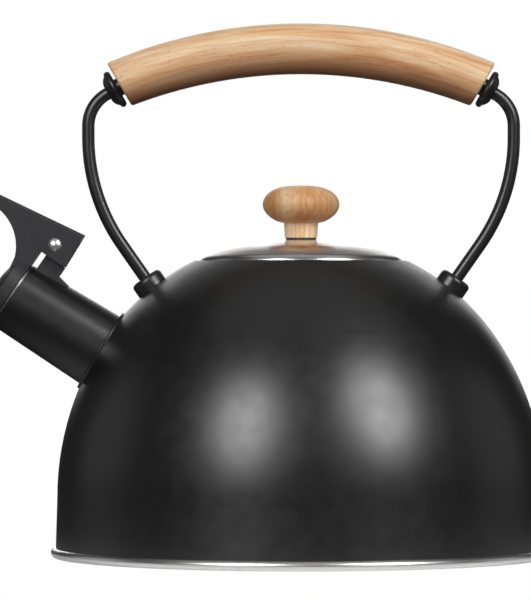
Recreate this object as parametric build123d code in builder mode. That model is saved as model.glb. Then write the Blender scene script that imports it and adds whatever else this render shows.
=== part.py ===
from build123d import *
import os
from math import acos, cos, degrees, radians, sin

# Stovetop whistling kettle. Millimetres, +Z up, spout towards -X, origin at the
# centre of the base on the dome's axis, which is the plane it stands on.

# Dome: a slightly flared skirt, then two tangent arcs up to the lid opening
skirt_foot_radius = 104.8
skirt_radius = 104.1
skirt_top = 25.5
lower_radius = 121.0
lower_sweep = 35.2
upper_radius = 96.6
wall = 0.6
opening_radius = 45.4
ledge_top = 122.6
collar_radius = 40.6
collar_bottom = 118.6
opening_edge_fillet = 0.25

# Base: stainless bottom with a rolled rim, aluminium spreader and steel cap
rim_radius = 106.8
rim_bottom = 0.0
rim_edge_width = 1.3
rim_top = 4.0
rim_inner_radius = 102.3
seam_bottom = 2.2
floor_bottom = 3.8
floor_top = 4.4
spreader_radius = 99.0
cap_radius = 100.0
cap_wall = 0.5
spreader_bottom = 0.9

# Spout: its frame leaves the middle of the kettle at this rise, and the tapered
# tube runs a little below that line towards the mouth
spout_rise = 34.5
spout_root_z = 29.5
spout_start = 92.0
spout_start_radius = 17.1
spout_start_shift = 0.2
spout_mouth = 147.5
spout_mouth_radius = 15.5
spout_mouth_shift = -2.2
spout_wall = 1.0
collar_ring_width = 2.0
collar_ring_thickness = 0.9
lip_front = 148.3
lip_bore = 13.6
lip_depth = 6.5
lip_radius = 15.3

# Whistle hinge, in the spout's own (along, across) coordinates
pin_along = 145.0
pin_across = 25.8
pin_radius = 1.6
pin_head_radius = 2.85
pin_head_height = 1.2
pin_side_gap = 0.2
hinge_clearance = 0.05
bracket_half_width = 5.0
ear_inner = 3.6
ear_radius = 3.4
bracket_rear = 136.2
bracket_front = 145.8
bracket_foot_rear = 130.4
bracket_foot_low = 14.6
bracket_foot_high = 15.7
bracket_floor = 16.5
bracket_shoulder = 20.0

# Whistle cap and its lever, one moulding
lever_half_width = 8.0
lever_slot_half = 5.2
lever_slot_top = 33.0
lever_cheek_rear = 136.3
lever_cheek_bottom = 20.2
lever_edge_fillet = 1.2
whistle_radius = 15.9
cap_rear = 148.7
cap_front = 156.8
cap_dome_radius = 40.0
cap_cavity_radius = 14.2
cap_cavity_depth = 4.4
steam_hole_radius = 4.0
plug_radius = 12.8
plug_rear = 144.5
plug_wall = 0.6
sound_hole_radius = 1.6
seal_front = 149.4
seal_rear = 148.45

# Spring on the hinge pin
spring_radius = 2.4
spring_wire = 0.35
spring_pitch = 1.0
spring_turns = 5
spring_leg = 5.0

# Lid and knob
lid_apex = 135.2
crown_radius = 170.0
crown_tilt = 10.5
shoulder_radius = 36.9
shoulder_tilt = 28.0
lid_edge_radius = 4.0
lid_wall = 0.6
lid_rest = 122.7
lid_skirt_radius = 40.0
lid_skirt_bottom = 113.5
lid_skirt_flange = 42.9
washer_radius = 6.5
knob_bottom = 136.1
knob_top = 158.4
knob_radius = 16.4
knob_widest = 150.3
knob_stem_radius = 6.9
knob_stem_top = 142.4
knob_screw_radius = 2.0
knob_insert_radius = 3.0
knob_insert_top = 147.0
thread_gap = 1.0

# Handle: feet on the dome, bent rods, and a wooden grip
foot_x = 63.6
foot_z = 114.75
foot_tilt = 35.0
foot_radius = 7.0
foot_height = 5.4
foot_edge_fillet = 2.0
foot_socket = 1.5
rod_radius = 2.7
rod_straight = 22.4
rod_side_radius = 80.0
rod_upright = 5.0
rod_top_radius = 15.5
rod_top_turn = 60.0
rod_fit = 0.02
rod_in_grip = 14.0
screw_radius = 1.5
screw_depth = 6.0
screw_head_radius = 3.0
screw_head_height = 1.8
seal_radius = 5.5
seal_thickness = 1.0
seal_sag = 0.4
grip_end_x = 77.2
grip_gap = 1.2
ferrule_radius = 8.5
ferrule_rim = 1.45
ferrule_depth = 5.0
ferrule_back_radius = 4.0
ferrule_boss_radius = 3.9
insert_radius = 4.0
insert_length = 16.0
grip_top_z = 227.5
grip_bottom_z = 206.1
grip_top_corner = (82.9, 210.6)
grip_bottom_corner = (72.4, 192.6)
grip_half_depth = 12.0
grip_side_fillet = 9.2
grip_end_fillet = 1.0
bore_run_out = 2.0


def finish(piece, name):
    """Label a finished piece and write its STEP file."""
    piece.part.label = name
    export_step(piece.part, f"parts/{name}.step")


def spout_plane(offset=0.0):
    """Plane of symmetry of the spout: local x runs along it, local y across it."""
    along = (-cos(radians(spout_rise)), 0, sin(radians(spout_rise)))
    return Plane((0, offset, spout_root_z), x_dir=along, z_dir=(0, 1, 0))


def across_spout(along, shift=0.0):
    """Plane square to the spout at a distance along its frame, shifted across it."""
    middle = spout_plane()
    centre = middle.from_local_coords((along, shift, 0))
    return Plane(centre, x_dir=(0, 1, 0), z_dir=middle.x_dir)


def mouth_plane():
    """The spout's plane of symmetry with local x on the centre line of the mouth."""
    middle = spout_plane()
    centre = middle.from_local_coords((0, spout_mouth_shift, 0))
    return Plane(centre, x_dir=middle.x_dir, z_dir=middle.z_dir)


def spout_cone(start=spout_start, inset=0.0):
    """Solid inside the tapered spout from a distance along it up to the mouth."""
    share = (spout_mouth - start) / (spout_mouth - spout_start)
    shift = spout_mouth_shift + share * (spout_start_shift - spout_mouth_shift)
    radius = spout_mouth_radius + share * (spout_start_radius - spout_mouth_radius)
    with BuildPart() as cone:
        with BuildSketch(across_spout(start, shift)):
            Circle(radius - inset)
        with BuildSketch(across_spout(spout_mouth, spout_mouth_shift)):
            Circle(spout_mouth_radius - inset)
        loft(ruled=True)
    return cone.part


def side_plane(side):
    """Upright plane through the axis with local x towards one handle foot."""
    return Plane((0, 0, 0), x_dir=(side, 0, 0), z_dir=(0, -side, 0))


def foot_plane(side):
    """Plane square to the rod where a foot meets the dome, normal outwards."""
    tilt = radians(foot_tilt)
    return Plane((side * foot_x, 0, foot_z), x_dir=(0, 1, 0), z_dir=(side * sin(tilt), 0, cos(tilt)))


def grip_entry(side):
    """Plane on the grip's end face where the rod enters, normal into the wood."""
    tilt = radians(rod_top_turn)
    bend_x = rod_out_x() - rod_top_radius * (1 - cos(tilt))
    bend_z = rod_bend_z() + rod_top_radius * sin(tilt)
    along = (bend_x - grip_end_x) / sin(tilt)
    entry_z = bend_z + along * cos(tilt)
    into = (-side * sin(tilt), 0, cos(tilt))
    return Plane((side * grip_end_x, 0, entry_z), x_dir=(0, 1, 0), z_dir=into)


def rod_out_x():
    """Distance of the rod's upright stretch from the axis."""
    tilt = radians(foot_tilt)
    return foot_x + rod_straight * sin(tilt) + rod_side_radius * (1 - cos(tilt))


def rod_bend_z():
    """Height at which the rod's top bend begins."""
    tilt = radians(foot_tilt)
    return foot_z + rod_straight * cos(tilt) + rod_side_radius * sin(tilt) + rod_upright


def lower_centre():
    """Centre of the dome's lower arc in its (radius, height) profile."""
    return Vector(skirt_radius - lower_radius, skirt_top)


def upper_centre():
    """Centre of the dome's upper arc, tangent to the lower one."""
    sweep = radians(lower_sweep)
    step = lower_radius - upper_radius
    return lower_centre() + Vector(step * cos(sweep), step * sin(sweep))


def upper_sweep(radius, offset=0.0):
    """Angle of the upper arc, offset outwards, when it reaches this radius."""
    centre = upper_centre()
    return degrees(acos((radius - centre.X) / (upper_radius + offset)))


def skirt_radius_at(height):
    """Outer radius of the flared skirt at a height."""
    flare = (skirt_foot_radius - skirt_radius) / (skirt_top - seam_bottom)
    return skirt_foot_radius - flare * (height - seam_bottom)


def dome_curve(bottom, end_radius, offset=0.0):
    """Skirt line and two arcs of the dome, offset outwards, in the open builder."""
    end = upper_sweep(end_radius, offset)
    Line((skirt_foot_radius + offset, bottom), (skirt_radius + offset, skirt_top))
    CenterArc(lower_centre(), lower_radius + offset, 0, lower_sweep)
    CenterArc(upper_centre(), upper_radius + offset, lower_sweep, end - lower_sweep)


def dome_height(radius, offset=0.0):
    """Height of the dome's surface at a radius on its upper arc."""
    angle = radians(upper_sweep(radius, offset))
    return upper_centre().Y + (upper_radius + offset) * sin(angle)


def dome_envelope(offset=0.0):
    """Solid bounded by the dome's surface, offset outwards, to trim pieces against."""
    end_radius = 10.0
    top = dome_height(end_radius, offset)
    with BuildPart() as envelope:
        with BuildSketch(Plane.XZ):
            with BuildLine():
                dome_curve(seam_bottom, end_radius, offset)
                Line((end_radius, top), (0, top))
                Line((0, top), (0, seam_bottom))
                Line((0, seam_bottom), (skirt_foot_radius + offset, seam_bottom))
            make_face()
        revolve(axis=Axis.Z)
    return envelope.part


def make_dome_shell():
    outer_top = dome_height(opening_radius)
    inner_top = dome_height(opening_radius + wall, -wall)
    with BuildPart() as dome_shell:
        with BuildSketch(Plane.XZ) as profile:
            with BuildLine():
                dome_curve(seam_bottom, opening_radius)
                Polyline(
                    (opening_radius, outer_top),
                    (opening_radius, ledge_top),
                    (collar_radius, ledge_top),
                    (collar_radius, collar_bottom),
                    (collar_radius + wall, collar_bottom),
                    (collar_radius + wall, ledge_top - wall),
                    (opening_radius + wall, ledge_top - wall),
                    (opening_radius + wall, inner_top),
                )
                dome_curve(seam_bottom, opening_radius + wall, -wall)
                Line((skirt_foot_radius - wall, seam_bottom), (skirt_foot_radius, seam_bottom))
            make_face()
            fillet(profile.vertices().sort_by(Axis.Y)[-1], opening_edge_fillet)
        revolve(axis=Axis.Z)
        add(spout_cone(inset=spout_wall), mode=Mode.SUBTRACT)
        for side in (-1, 1):
            with BuildSketch(foot_plane(side)):
                Circle(screw_radius + hinge_clearance)
            extrude(amount=foot_height, both=True, mode=Mode.SUBTRACT)
    finish(dome_shell, "dome_shell")


def make_base():
    rim_middle = (rim_bottom + rim_top) / 2
    rim_shoulder = rim_radius - rim_edge_width
    with BuildPart() as base_plate:
        with BuildSketch(Plane.XZ):
            with BuildLine():
                Polyline(
                    (rim_shoulder, rim_top),
                    (skirt_radius_at(rim_top), rim_top),
                    (skirt_foot_radius, seam_bottom),
                    (skirt_foot_radius - wall, seam_bottom),
                    (skirt_radius_at(floor_top) - wall, floor_top),
                    (0, floor_top),
                    (0, floor_bottom),
                    (rim_inner_radius, floor_bottom),
                    (rim_inner_radius, rim_bottom),
                    (rim_shoulder, rim_bottom),
                )
                ThreePointArc((rim_shoulder, rim_bottom), (rim_radius, rim_middle), (rim_shoulder, rim_top))
            make_face()
        revolve(axis=Axis.Z)
    finish(base_plate, "base_plate")

    with BuildPart() as heat_spreader:
        with BuildSketch(Plane.XY.offset(spreader_bottom)):
            Circle(spreader_radius)
        extrude(amount=floor_bottom - spreader_bottom)
    finish(heat_spreader, "heat_spreader")

    with BuildPart() as base_cap:
        with BuildSketch(Plane.XZ) as profile:
            with BuildLine():
                Polyline(
                    (0, 0),
                    (cap_radius, 0),
                    (cap_radius, floor_bottom),
                    (cap_radius - cap_wall, floor_bottom),
                    (cap_radius - cap_wall, spreader_bottom),
                    (0, spreader_bottom),
                    close=True,
                )
            make_face()
            fillet(profile.vertices().group_by(Axis.Y)[0].sort_by(Axis.X)[-1], spreader_bottom)
        revolve(axis=Axis.Z)
    finish(base_cap, "base_cap")


def make_spout():
    with BuildPart() as spout_tube:
        add(spout_cone())
        add(spout_cone(inset=spout_wall), mode=Mode.SUBTRACT)
        add(dome_envelope(), mode=Mode.SUBTRACT)
    finish(spout_tube, "spout_tube")

    with BuildPart() as spout_collar:
        add(spout_cone(inset=-collar_ring_width))
        add(spout_cone(), mode=Mode.SUBTRACT)
        add(dome_envelope(), mode=Mode.SUBTRACT)
        add(dome_envelope(collar_ring_thickness), mode=Mode.INTERSECT)
    finish(spout_collar, "spout_collar")

    flange = lip_front - spout_mouth
    with BuildPart() as spout_lip:
        add(spout_cone(spout_mouth - lip_depth, spout_wall))
        with BuildSketch(across_spout(spout_mouth, spout_mouth_shift)):
            Circle(lip_radius)
        extrude(amount=flange)
        with BuildSketch(across_spout(spout_mouth - lip_depth, spout_mouth_shift)):
            Circle(lip_bore)
        extrude(amount=lip_depth + flange, mode=Mode.SUBTRACT)
    finish(spout_lip, "spout_lip")


def make_hinge():
    with BuildPart() as hinge_bracket:
        with BuildSketch(spout_plane()):
            with Locations((pin_along, pin_across)):
                Circle(ear_radius)
            with BuildLine():
                Polyline(
                    (bracket_rear, 0),
                    (bracket_rear, bracket_shoulder),
                    (pin_along - ear_radius, bracket_shoulder),
                    (pin_along - ear_radius, pin_across),
                    (pin_along + ear_radius, pin_across),
                    (bracket_front, bracket_shoulder),
                    (bracket_front, 0),
                    close=True,
                )
            make_face()
            with BuildLine():
                Polyline(
                    (bracket_foot_rear, 0),
                    (bracket_foot_rear, bracket_foot_low),
                    (bracket_rear, bracket_foot_high),
                    (bracket_rear, 0),
                    close=True,
                )
            make_face()
        extrude(amount=bracket_half_width, both=True)
        with BuildSketch(spout_plane()):
            with Locations((pin_along, pin_across)):
                Circle(pin_radius)
        extrude(amount=bracket_half_width, both=True, mode=Mode.SUBTRACT)
        with BuildSketch(across_spout(bracket_rear)):
            with Locations((0, -(bracket_floor + pin_across) / 2 - ear_radius)):
                Rectangle(2 * ear_inner, pin_across - bracket_floor + 2 * ear_radius)
        extrude(amount=bracket_front - bracket_rear + ear_radius, mode=Mode.SUBTRACT)
        add(spout_cone(), mode=Mode.SUBTRACT)
    finish(hinge_bracket, "hinge_bracket")

    pin_half = lever_half_width + pin_side_gap
    pin_tip = pin_half + pin_head_height
    dome_radius = (pin_head_radius**2 + pin_head_height**2) / (2 * pin_head_height)
    pin_plane = across_spout(pin_along, pin_across)
    with BuildPart() as hinge_pin:
        with BuildSketch(pin_plane):
            with BuildLine():
                Polyline(
                    (pin_tip, 0),
                    (0, 0),
                    (0, pin_radius),
                    (pin_half, pin_radius),
                    (pin_half, pin_head_radius),
                )
                RadiusArc((pin_half, pin_head_radius), (pin_tip, 0), dome_radius)
            make_face()
        revolve(axis=Axis(pin_plane.origin, pin_plane.x_dir))
        mirror(about=Plane.XZ)
    finish(hinge_pin, "hinge_pin")


def lever_outline():
    """Side outline of the lever, from the hinge cheeks to the finger tip."""
    rear_top = (137.1, 36.4)
    tip_top = (182.6, 29.3)
    tip_end = (184.6, 27.4)
    tip_bottom = (182.6, 25.5)
    arc_end = (173.3, 24.9)
    arc_middle = (161.8, 19.9)
    arc_start = (156.2, 11.9)
    root_along = 155.2
    root_across = 6.0
    Polyline((lever_cheek_rear, lever_cheek_bottom), rear_top, tip_top)
    ThreePointArc(tip_top, tip_end, tip_bottom)
    Line(tip_bottom, arc_end)
    ThreePointArc(arc_end, arc_middle, arc_start)
    Polyline(
        arc_start,
        (root_along, root_across),
        (cap_rear, root_across),
        (cap_rear, lever_cheek_bottom),
        (lever_cheek_rear, lever_cheek_bottom),
    )


def make_lever_cap():
    middle = spout_plane()
    mouth = mouth_plane()
    dome_centre = cap_front - cap_dome_radius
    edge_along = dome_centre + (cap_dome_radius**2 - whistle_radius**2) ** 0.5
    slot_height = lever_slot_top - lever_cheek_bottom
    with BuildPart() as lever_cap:
        with BuildSketch(middle):
            with BuildLine():
                lever_outline()
            make_face()
        extrude(amount=lever_half_width, both=True)
        long_edges = lever_cap.edges().filter_by(GeomType.LINE).sort_by(SortBy.LENGTH)[-2:]
        fillet(long_edges, lever_edge_fillet)
        with BuildSketch(mouth):
            with BuildLine():
                Polyline(
                    (cap_front, 0),
                    (cap_rear, 0),
                    (cap_rear, whistle_radius),
                    (edge_along, whistle_radius),
                )
                RadiusArc((edge_along, whistle_radius), (cap_front, 0), cap_dome_radius)
            make_face()
        revolve(axis=Axis(mouth.origin, mouth.x_dir))
        with BuildSketch(across_spout(cap_rear, spout_mouth_shift)):
            Circle(cap_cavity_radius)
        extrude(amount=cap_cavity_depth, mode=Mode.SUBTRACT)
        with BuildSketch(across_spout(cap_rear, spout_mouth_shift)):
            Circle(steam_hole_radius)
        extrude(amount=cap_front - cap_rear, mode=Mode.SUBTRACT)
        with BuildSketch(across_spout(bracket_foot_rear)):
            with Locations((0, -lever_slot_top + slot_height / 2)):
                Rectangle(2 * lever_slot_half, slot_height)
        extrude(amount=cap_rear - bracket_foot_rear, mode=Mode.SUBTRACT)
        with BuildSketch(middle):
            with Locations((pin_along, pin_across)):
                Circle(pin_radius + hinge_clearance)
        extrude(amount=lever_half_width, both=True, mode=Mode.SUBTRACT)
    finish(lever_cap, "lever_cap")


def make_whistle():
    mouth = mouth_plane()
    cavity_end = cap_rear + cap_cavity_depth
    inner_radius = plug_radius - plug_wall
    with BuildPart() as whistle_cup:
        with BuildSketch(mouth):
            with BuildLine():
                Polyline(
                    (plug_rear, inner_radius),
                    (plug_rear, plug_radius),
                    (cavity_end - plug_wall, plug_radius),
                    (cavity_end - plug_wall, cap_cavity_radius),
                    (cavity_end, cap_cavity_radius),
                    (cavity_end, inner_radius),
                    close=True,
                )
            make_face()
        revolve(axis=Axis(mouth.origin, mouth.x_dir))
    finish(whistle_cup, "whistle_cup")

    make_whistle_disc(plug_rear + plug_wall, "whistle_rear_disc")
    make_whistle_disc(cap_rear + plug_wall, "whistle_front_disc")

    with BuildPart() as cap_seal:
        with BuildSketch(across_spout(seal_rear, spout_mouth_shift)):
            Circle(cap_cavity_radius)
            Circle(plug_radius, mode=Mode.SUBTRACT)
        extrude(amount=seal_front - seal_rear)
    finish(cap_seal, "cap_seal")


def make_whistle_disc(along, name):
    with BuildPart() as disc:
        with BuildSketch(across_spout(along, spout_mouth_shift)):
            Circle(plug_radius - plug_wall)
            Circle(sound_hole_radius, mode=Mode.SUBTRACT)
        extrude(amount=plug_wall)
    finish(disc, name)


def make_spring():
    half = spring_turns * spring_pitch / 2
    centre = spout_plane(-half).from_local_coords((pin_along, pin_across, 0))
    with BuildPart() as whistle_spring:
        with BuildLine() as path:
            Helix(spring_pitch, 2 * half, spring_radius, center=centre, direction=(0, 1, 0))
        with BuildSketch(Plane(path.line @ 0, z_dir=path.line % 0)):
            Circle(spring_wire)
        sweep(path=path.line, is_frenet=True)
        for end, way in ((0, -1), (1, 1)):
            leg_direction = (path.line % end) * way
            with BuildSketch(Plane(path.line @ end, z_dir=leg_direction)):
                Circle(spring_wire)
            extrude(amount=spring_leg / 2)
    finish(whistle_spring, "whistle_spring")


def lid_curve(offset=0.0):
    """Crown, shoulder and rolled edge of the lid, offset inwards; returns both ends."""
    crown_centre = Vector(0, lid_apex - crown_radius)
    shoulder_way = Vector(sin(radians(crown_tilt)), cos(radians(crown_tilt)))
    shoulder_centre = crown_centre + shoulder_way * (crown_radius - shoulder_radius)
    edge_way = Vector(sin(radians(shoulder_tilt)), cos(radians(shoulder_tilt)))
    edge_centre = shoulder_centre + edge_way * (shoulder_radius - lid_edge_radius)
    crown = CenterArc(crown_centre, crown_radius - offset, 90 - crown_tilt, crown_tilt)
    CenterArc(shoulder_centre, shoulder_radius - offset, 90 - shoulder_tilt, shoulder_tilt - crown_tilt)
    edge = CenterArc(edge_centre, lid_edge_radius - offset, 0, 90 - shoulder_tilt)
    return crown @ 1, edge @ 0


def make_lid():
    with BuildPart() as lid_cover:
        with BuildSketch(Plane.XZ):
            with BuildLine():
                outer_apex, outer_edge = lid_curve()
                inner_apex, inner_edge = lid_curve(lid_wall)
                Polyline(outer_edge, (outer_edge.X, lid_rest), (inner_edge.X, lid_rest), inner_edge)
                Line(outer_apex, inner_apex)
            make_face()
        revolve(axis=Axis.Z)
        with BuildSketch(Plane.XY.offset(lid_rest)):
            Circle(knob_screw_radius + hinge_clearance)
        extrude(amount=knob_top - lid_rest, mode=Mode.SUBTRACT)
    finish(lid_cover, "lid_cover")

    with BuildPart() as lid_skirt:
        with BuildSketch(Plane.XZ):
            with BuildLine():
                Polyline(
                    (lid_skirt_radius - lid_wall, lid_skirt_bottom),
                    (lid_skirt_radius, lid_skirt_bottom),
                    (lid_skirt_radius, lid_rest),
                    (lid_skirt_flange, lid_rest),
                    (lid_skirt_flange, lid_rest + lid_wall),
                    (lid_skirt_radius - lid_wall, lid_rest + lid_wall),
                    close=True,
                )
            make_face()
        revolve(axis=Axis.Z)
    finish(lid_skirt, "lid_skirt")


def make_knob():
    undercut = (7.3, knob_stem_top)
    with BuildPart() as knob:
        with BuildSketch(Plane.XZ):
            with BuildLine():
                Spline(
                    (0, knob_top),
                    (10.4, 157.1),
                    (15.0, 154.1),
                    (knob_radius, knob_widest),
                    (15.1, 146.8),
                    (10.8, 143.4),
                    undercut,
                    tangents=((1, 0), (-1, -0.2)),
                )
                Polyline(undercut, (knob_stem_radius, knob_bottom), (0, knob_bottom), (0, knob_top))
            make_face()
        revolve(axis=Axis.Z)
        with BuildSketch(Plane.XY.offset(knob_bottom)):
            Circle(knob_insert_radius)
        extrude(amount=knob_insert_top - knob_bottom, mode=Mode.SUBTRACT)
    finish(knob, "knob")

    with BuildPart() as knob_washer:
        with BuildSketch(Plane.XY.offset(lid_apex)):
            Circle(washer_radius)
            Circle(knob_screw_radius, mode=Mode.SUBTRACT)
        extrude(amount=knob_bottom - lid_apex)
    finish(knob_washer, "knob_washer")

    with BuildPart() as knob_insert:
        with BuildSketch(Plane.XY.offset(knob_bottom)):
            Circle(knob_insert_radius)
            Circle(knob_screw_radius, mode=Mode.SUBTRACT)
        extrude(amount=knob_insert_top - knob_bottom)
    finish(knob_insert, "knob_insert")

    head_radius = 4.0
    head_height = 2.2
    underside_drop = 0.1
    head_top = lid_apex - lid_wall - underside_drop
    with BuildPart() as knob_screw:
        with BuildSketch(Plane.XY.offset(head_top - head_height)):
            Circle(head_radius)
        extrude(amount=head_height)
        with BuildSketch(Plane.XY.offset(head_top)):
            Circle(knob_screw_radius)
        extrude(amount=knob_insert_top - thread_gap - head_top)
    finish(knob_screw, "knob_screw")


def make_grip():
    with BuildPart() as handle_grip:
        with BuildSketch(Plane.XZ):
            with BuildLine():
                left_top = (-grip_top_corner[0], grip_top_corner[1])
                left_bottom = (-grip_bottom_corner[0], grip_bottom_corner[1])
                ThreePointArc(left_top, (0, grip_top_z), grip_top_corner)
                Line(grip_top_corner, grip_bottom_corner)
                ThreePointArc(grip_bottom_corner, (0, grip_bottom_z), left_bottom)
                Line(left_bottom, left_top)
            make_face()
        extrude(amount=grip_half_depth, both=True)
        fillet(handle_grip.edges().filter_by(GeomType.CIRCLE), grip_side_fillet)
        for end in (0, -1):
            end_face = handle_grip.faces().filter_by(GeomType.PLANE).sort_by(Axis.X)[end]
            fillet(end_face.edges(), grip_end_fillet)
        for side in (-1, 1):
            with BuildSketch(grip_entry(side).offset(-bore_run_out)):
                Circle(insert_radius)
            extrude(amount=insert_length + 2 * bore_run_out, mode=Mode.SUBTRACT)
    finish(handle_grip, "handle_grip")


def make_handle_side(side, word):
    path_plane = side_plane(side)
    tilt = radians(foot_tilt)
    rod_start = foot_height - foot_socket
    start = (foot_x + rod_start * sin(tilt), foot_z + rod_start * cos(tilt))
    bend = (foot_x + rod_straight * sin(tilt), foot_z + rod_straight * cos(tilt))
    entry = grip_entry(side)
    rod_end = entry.origin + entry.z_dir * rod_in_grip
    with BuildPart() as handle_rod:
        with BuildLine(path_plane) as path:
            low = Line(start, bend)
            flank = JernArc(low @ 1, (sin(tilt), cos(tilt)), rod_side_radius, foot_tilt)
            upright = Line(flank @ 1, (rod_out_x(), rod_bend_z()))
            top = JernArc(upright @ 1, (0, 1), rod_top_radius, rod_top_turn)
            Line(top @ 1, (side * rod_end.X, rod_end.Z))
        with BuildSketch(Plane(path.line @ 0, z_dir=path.line % 0)):
            Circle(rod_radius)
        sweep(path=path.line)
        with BuildSketch(foot_plane(side)):
            Circle(screw_radius)
        extrude(amount=foot_height + screw_depth, mode=Mode.SUBTRACT)
    finish(handle_rod, f"handle_rod_{word}")

    with BuildPart() as handle_foot:
        with BuildSketch(foot_plane(side).offset(-foot_height)):
            Circle(foot_radius)
        extrude(amount=2 * foot_height)
        top_rim = handle_foot.edges().filter_by(GeomType.CIRCLE).sort_by(Axis.Z)[-1]
        fillet(top_rim, foot_edge_fillet)
        with BuildSketch(foot_plane(side).offset(foot_height - foot_socket)):
            Circle(rod_radius + rod_fit)
        extrude(amount=foot_socket, mode=Mode.SUBTRACT)
        with BuildSketch(foot_plane(side)):
            Circle(screw_radius)
        extrude(amount=foot_height, both=True, mode=Mode.SUBTRACT)
        add(dome_envelope(), mode=Mode.SUBTRACT)
    finish(handle_foot, f"handle_foot_{word}")

    seal_bottom = -wall - seal_thickness - seal_sag
    with BuildPart() as foot_seal:
        with BuildSketch(foot_plane(side).offset(seal_bottom)):
            Circle(seal_radius)
            Circle(screw_radius + hinge_clearance, mode=Mode.SUBTRACT)
        extrude(amount=seal_thickness + foot_height)
        add(dome_envelope(-wall), mode=Mode.INTERSECT)
    finish(foot_seal, f"foot_seal_{word}")

    with BuildPart() as foot_screw:
        with BuildSketch(foot_plane(side).offset(seal_bottom - screw_head_height)):
            Circle(screw_head_radius)
        extrude(amount=screw_head_height)
        with BuildSketch(foot_plane(side).offset(seal_bottom)):
            Circle(screw_radius)
        extrude(amount=foot_height + screw_depth - thread_gap - seal_bottom)
    finish(foot_screw, f"foot_screw_{word}")

    ferrule_plane = Plane(entry.origin, x_dir=entry.z_dir, z_dir=(0, 1, 0))
    bore = rod_radius + rod_fit
    face = -grip_gap
    back = face - ferrule_depth
    rim_face = (face, ferrule_radius - ferrule_rim)
    rim_crest = (face - ferrule_rim, ferrule_radius)
    rim_back = (face - 2 * ferrule_rim, ferrule_radius - ferrule_rim)
    shoulder = (-5.4, 5.7)
    with BuildPart() as grip_ferrule:
        with BuildSketch(ferrule_plane):
            with BuildLine():
                Polyline(
                    (back, ferrule_back_radius),
                    (back, bore),
                    (0, bore),
                    (0, ferrule_boss_radius),
                    (face, ferrule_boss_radius),
                    rim_face,
                )
                ThreePointArc(rim_face, rim_crest, rim_back)
                ThreePointArc(rim_back, shoulder, (back, ferrule_back_radius))
            make_face()
        revolve(axis=Axis(entry.origin, entry.z_dir))
    finish(grip_ferrule, f"grip_ferrule_{word}")

    with BuildPart() as grip_insert:
        with BuildSketch(entry):
            Circle(insert_radius)
            Circle(bore, mode=Mode.SUBTRACT)
        extrude(amount=insert_length)
    finish(grip_insert, f"grip_insert_{word}")


os.makedirs("parts", exist_ok=True)
make_dome_shell()
make_base()
make_spout()
make_hinge()
make_lever_cap()
make_whistle()
make_spring()
make_lid()
make_knob()
make_grip()
make_handle_side(-1, "left")
make_handle_side(1, "right")
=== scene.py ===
from math import cos, pi, radians, sin, tan

import bmesh
import bpy
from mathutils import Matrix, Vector

# Looks of the stovetop whistling kettle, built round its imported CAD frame.
# Metres, +Z up, spout towards -X, the kettle's axis on the origin.

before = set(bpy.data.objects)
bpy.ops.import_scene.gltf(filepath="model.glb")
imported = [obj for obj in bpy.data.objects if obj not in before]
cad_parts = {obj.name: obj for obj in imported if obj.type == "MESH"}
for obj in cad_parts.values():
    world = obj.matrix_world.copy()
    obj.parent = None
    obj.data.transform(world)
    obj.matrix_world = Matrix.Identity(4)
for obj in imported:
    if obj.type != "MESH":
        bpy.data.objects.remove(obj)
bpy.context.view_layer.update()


# ---------------------------------------------------------------- camera

camera_distance = 1.872
camera_height = 0.1095
camera_aside = -0.0152
camera_lens = 262.8
camera_sensor = 36.0
camera_clip = 50.0


def make_camera():
    """Long lens, level with the upper part of the dome, looking square across the spout."""
    data = bpy.data.cameras.new("camera")
    data.sensor_width = camera_sensor
    data.lens = camera_lens
    data.clip_end = camera_clip
    camera = bpy.data.objects.new("camera", data)
    camera.location = (camera_aside, -camera_distance, camera_height)
    camera.rotation_euler = (radians(90), 0, 0)
    bpy.context.scene.collection.objects.link(camera)
    bpy.context.scene.camera = camera


# ---------------------------------------------------------------- studio

light_distance = 1.5
light_target = Vector((0, 0, 0.08))

# Azimuth from the camera's side, elevation, width and height in degrees as the kettle
# sees the light, then its radiance and its outline.
softboxes = {
    "key_left": (-29, 27.5, 24, 33, 6.9, "ELLIPSE"),
    "key_right": (42, 32, 24, 33, 8.0, "ELLIPSE"),
    "low_left": (-31, 0, 14, 18, 0.12, "ELLIPSE"),
    "side_left": (-105, 8, 36, 44, 0.24, "ELLIPSE"),
    "side_right": (105, 8, 36, 44, 0.24, "ELLIPSE"),
    "overhead": (0, 88, 70, 44, 0.25, "ELLIPSE"),
    "back_card": (180, 13, 44, 18, 1.7, "RECTANGLE"),
    "back_low": (180, 2, 20, 14, 1.6, "RECTANGLE"),
    "back_upper": (180, 28, 48, 10, 0.9, "RECTANGLE"),
    "back_high": (180, 42, 60, 26, 0.17, "RECTANGLE"),
}
room_grey = 0.03


def make_softbox(name, azimuth, elevation, width, height, radiance, outline):
    """Area light at light_distance from the kettle, unseen by the camera."""
    turn = radians(azimuth)
    lift = radians(elevation)
    outward = Vector((sin(turn) * cos(lift), -cos(turn) * cos(lift), sin(lift)))
    data = bpy.data.lights.new(name, "AREA")
    data.shape = outline
    data.size = 2 * light_distance * tan(radians(width / 2))
    data.size_y = 2 * light_distance * tan(radians(height / 2))
    area = data.size * data.size_y * (pi / 4 if outline == "ELLIPSE" else 1)
    data.energy = radiance * area * pi
    light = bpy.data.objects.new(name, data)
    light.location = light_target + outward * light_distance
    light.rotation_euler = outward.to_track_quat("Z", "Y").to_euler()
    light.visible_camera = False
    bpy.context.scene.collection.objects.link(light)


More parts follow.
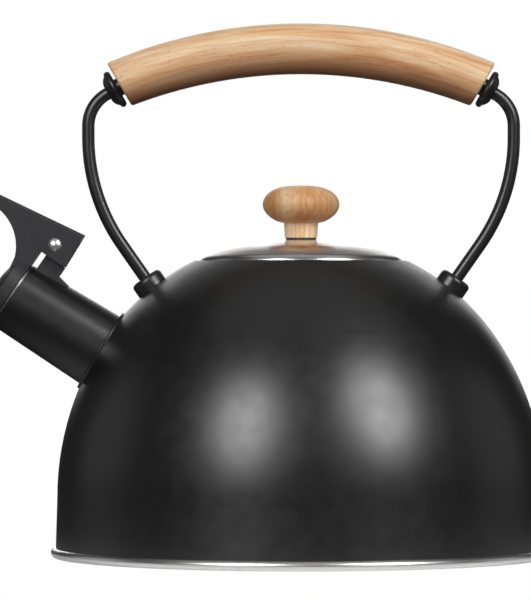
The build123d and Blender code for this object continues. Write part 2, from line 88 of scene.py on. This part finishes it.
def make_world():
    """White where the camera looks past the kettle, dim grey as a light."""
    world = bpy.data.worlds.new("studio")
    bpy.context.scene.world = world
    world.use_nodes = True
    tree = world.node_tree
    tree.nodes.clear()
    path = tree.nodes.new("ShaderNodeLightPath")
    dim = tree.nodes.new("ShaderNodeBackground")
    dim.inputs["Color"].default_value = (room_grey, room_grey, room_grey, 1)
    white = tree.nodes.new("ShaderNodeBackground")
    white.inputs["Color"].default_value = (1, 1, 1, 1)
    mix = tree.nodes.new("ShaderNodeMixShader")
    output = tree.nodes.new("ShaderNodeOutputWorld")
    tree.links.new(path.outputs["Is Camera Ray"], mix.inputs[0])
    tree.links.new(dim.outputs[0], mix.inputs[1])
    tree.links.new(white.outputs[0], mix.inputs[2])
    tree.links.new(mix.outputs[0], output.inputs["Surface"])


floor_size = 12.0
floor_squares = 8
floor_drop = 0.0003
# As paper the floor carries a painted pool of light: painted_pool_pale out to painted_pool_near from the
# axis, and painted_pool_dim from painted_pool_far on.
painted_pool_near = 0.125
painted_pool_far = 0.20
painted_pool_pale = 0.90
painted_pool_dim = 0.08


def make_floor():
    """Floor just under the base: white to the camera, and as paper a painted pool of light round the
    kettle.
    """
    mesh = bpy.data.meshes.new("floor")
    grid = bmesh.new()
    bmesh.ops.create_grid(grid, x_segments=floor_squares, y_segments=floor_squares, size=floor_size / 2)
    grid.to_mesh(mesh)
    grid.free()
    floor = bpy.data.objects.new("floor", mesh)
    floor.location = (0, 0, -floor_drop)
    bpy.context.scene.collection.objects.link(floor)
    material = bpy.data.materials.new("pale_floor")
    material.use_nodes = True
    tree = material.node_tree
    tree.nodes.clear()
    path = tree.nodes.new("ShaderNodeLightPath")
    paper = tree.nodes.new("ShaderNodeBsdfDiffuse")
    reach = tree.nodes.new("ShaderNodeVectorMath")
    reach.operation = "LENGTH"
    tree.links.new(tree.nodes.new("ShaderNodeTexCoord").outputs["Object"], reach.inputs[0])
    # Painted pool of light: the paper is palest near the axis and dim further out.
    painted_pool = tree.nodes.new("ShaderNodeMapRange")
    for socket, value in zip(painted_pool.inputs[1:5], (painted_pool_near, painted_pool_far, painted_pool_pale, painted_pool_dim)):
        socket.default_value = value
    tree.links.new(reach.outputs["Value"], painted_pool.inputs["Value"])
    tree.links.new(painted_pool.outputs["Result"], paper.inputs["Color"])
    glow = tree.nodes.new("ShaderNodeEmission")
    glow.inputs["Strength"].default_value = 1.0
    mix = tree.nodes.new("ShaderNodeMixShader")
    output = tree.nodes.new("ShaderNodeOutputMaterial")
    tree.links.new(path.outputs["Is Camera Ray"], mix.inputs[0])
    tree.links.new(paper.outputs[0], mix.inputs[1])
    tree.links.new(glow.outputs[0], mix.inputs[2])
    tree.links.new(mix.outputs[0], output.inputs["Surface"])
    mesh.materials.append(material)


# ---------------------------------------------------------------- material kit

# Nearly all of a noise texture's values lie between these.
noise_low = 0.3
noise_high = 0.7


class Finish:
    """A procedural material being put together round one Principled shader."""

    def __init__(self, name):
        self.material = bpy.data.materials.new(name)
        self.material.use_nodes = True
        self.tree = self.material.node_tree
        self.shader = self.tree.nodes["Principled BSDF"]
        coordinates = self.tree.nodes.new("ShaderNodeTexCoord")
        self.place = coordinates.outputs["Object"]
        self.normal = coordinates.outputs["Normal"]

    def set(self, **values):
        """Sets the shader's own sockets, spaces written as underscores."""
        for name, value in values.items():
            self.shader.inputs[name.replace("_", " ")].default_value = value

    def to(self, name, output):
        """Leads a node's output to one of the shader's sockets."""
        self.tree.links.new(output, self.shader.inputs[name])

    def fill(self, sockets, values):
        """Gives each socket its value, which is another node's output or a constant."""
        for socket, value in zip(sockets, values):
            if isinstance(value, bpy.types.NodeSocket):
                self.tree.links.new(value, socket)
            else:
                socket.default_value = value

    def node(self, kind, **inputs):
        """Adds a node with these inputs, spaces written as underscores."""
        made = self.tree.nodes.new(kind)
        self.fill([made.inputs[name.replace("_", " ")] for name in inputs], inputs.values())
        return made

    def math(self, operation, *values):
        made = self.tree.nodes.new("ShaderNodeMath")
        made.operation = operation
        self.fill(made.inputs, values)
        return made.outputs[0]

    def diagonal(self, first, second):
        """Length of the diagonal of two lengths at right angles."""
        squares = [self.math("MULTIPLY", length, length) for length in (first, second)]
        return self.math("SQRT", self.math("ADD", *squares))

    def stretched(self, scale, source):
        """Texture space with its own scale along X, Y and Z (per metre)."""
        return self.node("ShaderNodeMapping", Vector=source, Scale=scale).outputs[0]

    def noise(self, scale, detail=4.0, roughness=0.5, space=None, distortion=0.0):
        made = self.node(
            "ShaderNodeTexNoise",
            Vector=space or self.place,
            Scale=scale,
            Detail=detail,
            Roughness=roughness,
            Distortion=distortion,
        )
        return made.outputs["Fac"]

    def remap(self, value, low, high, to_low, to_high):
        made = self.node("ShaderNodeMapRange", Value=value)
        self.fill(made.inputs[1:5], (low, high, to_low, to_high))
        return made.outputs["Result"]

    def ramp(self, value, stops):
        """Colour ramp through (position, (r, g, b)) stops."""
        made = self.node("ShaderNodeValToRGB", Fac=value)
        elements = made.color_ramp.elements
        while len(elements) < len(stops):
            elements.new(0.5)
        for element, (position, colour) in zip(elements, stops):
            element.position = position
            element.color = (*colour, 1)
        return made.outputs["Color"]

    def shade(self, noise, dark, light):
        """Colour that drifts from dark to light with a noise."""
        return self.ramp(noise, [(noise_low, dark), (noise_high, light)])

    def blend(self, share, first, second, mode="MIX"):
        """Colour mixed from two; the mix node takes colours in its seventh and eighth sockets."""
        made = self.tree.nodes.new("ShaderNodeMix")
        made.data_type = "RGBA"
        made.blend_type = mode
        self.fill((made.inputs[0], made.inputs[6], made.inputs[7]), (share, first, second))
        return made.outputs[2]

    def roughen(self, noise, smooth, rough):
        """Roughness that drifts from smooth to rough with a noise."""
        self.to("Roughness", self.remap(noise, noise_low, noise_high, smooth, rough))

    def emboss(self, height, strength, depth):
        """Fine relief, depth in metres."""
        bump = self.node("ShaderNodeBump", Height=height, Strength=strength, Distance=depth)
        self.to("Normal", bump.outputs["Normal"])


# ---------------------------------------------------------------- materials

shell_middle = (0, 0, 0.04)


def enamel():
    """Satin black enamel outside; faces that look inwards are bare stainless steel."""
    finish = Finish("black_enamel")
    outward = finish.node("ShaderNodeVectorMath")
    outward.operation = "SUBTRACT"
    finish.fill(outward.inputs, (finish.place, shell_middle))
    facing = finish.node("ShaderNodeVectorMath")
    facing.operation = "DOT_PRODUCT"
    finish.fill(facing.inputs, (outward.outputs["Vector"], finish.normal))
    outside = finish.math("GREATER_THAN", facing.outputs["Value"], 0.0)
    mottle = finish.noise(60.0)
    black = finish.shade(mottle, (0.0040, 0.0040, 0.0041), (0.0056, 0.0056, 0.0057))
    bare = finish.shade(mottle, (0.52, 0.51, 0.50), (0.62, 0.61, 0.60))
    finish.to("Base Color", finish.blend(outside, bare, black))
    finish.to("Metallic", finish.math("SUBTRACT", 1.0, outside))
    finish.roughen(finish.noise(140.0), smooth=0.32, rough=0.37)
    finish.emboss(finish.noise(900.0, detail=2.0), strength=0.10, depth=0.00012)
    finish.set(Specular_IOR_Level=1.0)
    return finish.material


def gloss_black():
    """Glossy dipped enamel on the handle's rods, feet and ferrules."""
    finish = Finish("gloss_black")
    finish.to("Base Color", finish.shade(finish.noise(90.0), (0.013, 0.013, 0.013), (0.019, 0.019, 0.019)))
    finish.roughen(finish.noise(220.0), smooth=0.31, rough=0.37)
    finish.emboss(finish.noise(260.0, detail=1.0), strength=0.02, depth=0.0001)
    finish.set(Specular_IOR_Level=0.9)
    return finish.material


def nylon():
    """Moulded charcoal nylon with a fine spark-eroded texture."""
    finish = Finish("black_nylon")
    finish.to("Base Color", finish.shade(finish.noise(160.0), (0.026, 0.026, 0.029), (0.036, 0.036, 0.040)))
    finish.roughen(finish.noise(500.0), smooth=0.42, rough=0.52)
    finish.emboss(finish.noise(2600.0, detail=2.0), strength=0.25, depth=0.00008)
    return finish.material


def silicone():
    """Matt dark silicone of the seals and the knob's washer."""
    finish = Finish("silicone")
    finish.to("Base Color", finish.shade(finish.noise(200.0), (0.05, 0.05, 0.05), (0.07, 0.07, 0.07)))
    finish.roughen(finish.noise(300.0), smooth=0.55, rough=0.65)
    finish.emboss(finish.noise(1800.0), strength=0.1, depth=0.00005)
    return finish.material


def metal(name, tone, smooth):
    """Plain turned or rolled metal."""
    finish = Finish(name)
    dark = tuple(0.85 * part for part in tone)
    finish.to("Base Color", finish.shade(finish.noise(260.0), dark, tone))
    finish.roughen(finish.noise(900.0), smooth, rough=smooth + 0.08)
    finish.emboss(finish.noise(3000.0), strength=0.05, depth=0.00003)
    finish.set(Metallic=1.0)
    return finish.material


marks_low = 0.25
marks_high = 0.75


def steel(name, tone, rough, spread):
    """Stainless steel with rings of fine polishing marks round the kettle's axis."""
    finish = Finish(name)
    apart = finish.node("ShaderNodeSeparateXYZ", Vector=finish.place)
    radius = finish.diagonal(apart.outputs["X"], apart.outputs["Y"])
    rings = finish.node("ShaderNodeCombineXYZ", X=radius, Y=apart.outputs["Z"])
    marks = finish.noise(5200.0, detail=3.0, space=rings.outputs[0])
    dark = tuple(0.93 * part for part in tone)
    finish.to("Base Color", finish.shade(finish.noise(45.0), dark, tone))
    finish.to("Roughness", finish.remap(marks, marks_low, marks_high, rough - spread, rough + spread))
    finish.emboss(marks, strength=0.04, depth=0.00003)
    finish.set(Metallic=1.0)
    return finish.material


bow_centre = 0.0105
bow_radius = 0.206
bow_inner = 0.197
bow_outer = 0.216
# Painted shade on the grip: darkest at the inside of its bow, its underside, and unchanged towards its top.
grip_painted_shade = [
    (0.0, (0.40, 0.26, 0.19)),
    (0.30, (0.66, 0.52, 0.43)),
    (0.52, (0.96, 0.88, 0.82)),
    (0.72, (1.0, 1.0, 1.0)),
]


def grip_lay(finish):
    """Grain bent along the grip's bow, and the share from the bow's inside out."""
    apart = finish.node("ShaderNodeSeparateXYZ", Vector=finish.place)
    rise = finish.math("SUBTRACT", apart.outputs["Z"], bow_centre)
    turn = finish.math("ARCTAN2", apart.outputs["X"], rise)
    depth = finish.diagonal(apart.outputs["X"], rise)
    length = finish.math("MULTIPLY", turn, bow_radius)
    bent = finish.node("ShaderNodeCombineXYZ", X=length, Y=apart.outputs["Y"], Z=depth)
    return bent.outputs[0], finish.remap(depth, bow_inner, bow_outer, 0.0, 1.0)


knob_low = 0.1361
knob_high = 0.1584
# Painted shade on the knob: darkest just under the cap and lighter towards its top; the stem below is left
# unchanged.
knob_painted_shade = [
    (0.0, (1.0, 1.0, 1.0)),
    (0.27, (1.0, 1.0, 1.0)),
    (0.30, (0.62, 0.42, 0.30)),
    (0.55, (0.86, 0.73, 0.60)),
    (1.0, (0.98, 0.90, 0.78)),
]


def knob_lay(finish):
    """Grain upright in the knob, and the share from the stem's foot up."""
    turned = finish.node("ShaderNodeVectorRotate", Vector=finish.place, Angle=pi / 2)
    turned.rotation_type = "Y_AXIS"
    height = finish.node("ShaderNodeSeparateXYZ", Vector=finish.place).outputs["Z"]
    return turned.outputs[0], finish.remap(height, knob_low, knob_high, 0.0, 1.0)


# Scales of the wood's textures along the grain and across it, per metre.
figure_scale = (9, 62, 88)
streak_scale = (30, 420, 620)
pore_scale = (260, 2300, 2300)
figure_tones = [
    (0.33, (0.72, 0.370, 0.165)),
    (0.45, (0.89, 0.550, 0.285)),
    (0.55, (0.99, 0.730, 0.460)),
    (0.68, (1.00, 0.860, 0.640)),
]
streak_tones = [(0.36, (0.82, 0.64, 0.52)), (0.55, (1, 1, 1))]
pore_tones = [(0.30, (0.76, 0.66, 0.58)), (0.37, (1, 1, 1))]


def wood(name, lay, shade_tones):
    """Oiled light hardwood: broad figure, reddish streaks and short dark pores.

    lay gives the space that the grain runs in and a share from 0 to 1 across the piece,
    and the last argument is painted shade, darkening the wood by that share.
    """
    finish = Finish(name)
    grain, share = lay(finish)
    figure_space = finish.stretched(figure_scale, grain)
    figure = finish.noise(1.0, detail=5.0, roughness=0.6, distortion=0.8, space=figure_space)
    streak = finish.noise(1.0, detail=4.0, roughness=0.6, space=finish.stretched(streak_scale, grain))
    pores = finish.noise(1.0, detail=2.0, space=finish.stretched(pore_scale, grain))
    colour = finish.ramp(figure, figure_tones)
    colour = finish.blend(0.7, colour, finish.ramp(streak, streak_tones), "MULTIPLY")
    colour = finish.blend(0.9, colour, finish.ramp(pores, pore_tones), "MULTIPLY")
    # Painted shade across the piece, darker where less light falls.
    colour = finish.blend(1.0, colour, finish.ramp(share, shade_tones), "MULTIPLY")
    finish.to("Base Color", colour)
    finish.roughen(streak, smooth=0.44, rough=0.58)
    finish.emboss(pores, strength=0.2, depth=0.00012)
    return finish.material


def dress_cad_nodes():
    """Gives every CAD node the finish of its slot, or its own where it differs."""
    by_slot = {
        "black_enamel": enamel(),
        "gloss_black": gloss_black(),
        "stainless": steel("stainless", (0.82, 0.81, 0.80), rough=0.26, spread=0.05),
        "mirror_steel": steel("mirror_steel", (0.88, 0.87, 0.86), rough=0.27, spread=0.04),
        "aluminium": metal("aluminium", (0.75, 0.75, 0.76), smooth=0.4),
        "black_nylon": nylon(),
        "silicone": silicone(),
        "brass": metal("brass", (0.78, 0.58, 0.30), smooth=0.3),
    }
    by_node = {
        "handle_grip": wood("grip_wood", grip_lay, grip_painted_shade),
        "knob": wood("knob_wood", knob_lay, knob_painted_shade),
        "hinge_pin": metal("pin_steel", (0.92, 0.91, 0.90), smooth=0.34),
        "spout_lip": metal("lip_steel", (0.40, 0.39, 0.38), smooth=0.34),
        # The base rim gets a paler copy of the stainless: painted light on the rim.
        "base_plate": steel("rim_steel_painted_light", (0.95, 0.94, 0.93), rough=0.30, spread=0.05),
    }
    for name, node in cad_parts.items():
        slot = node.material_slots[0].material.name.split(".")[0]
        node.material_slots[0].material = by_node[name] if name in by_node else by_slot[slot]


make_camera()
for name, settings in softboxes.items():
    make_softbox(name, *settings)
make_world()
make_floor()
dress_cad_nodes()
bpy.context.scene.view_settings.view_transform = "Standard"
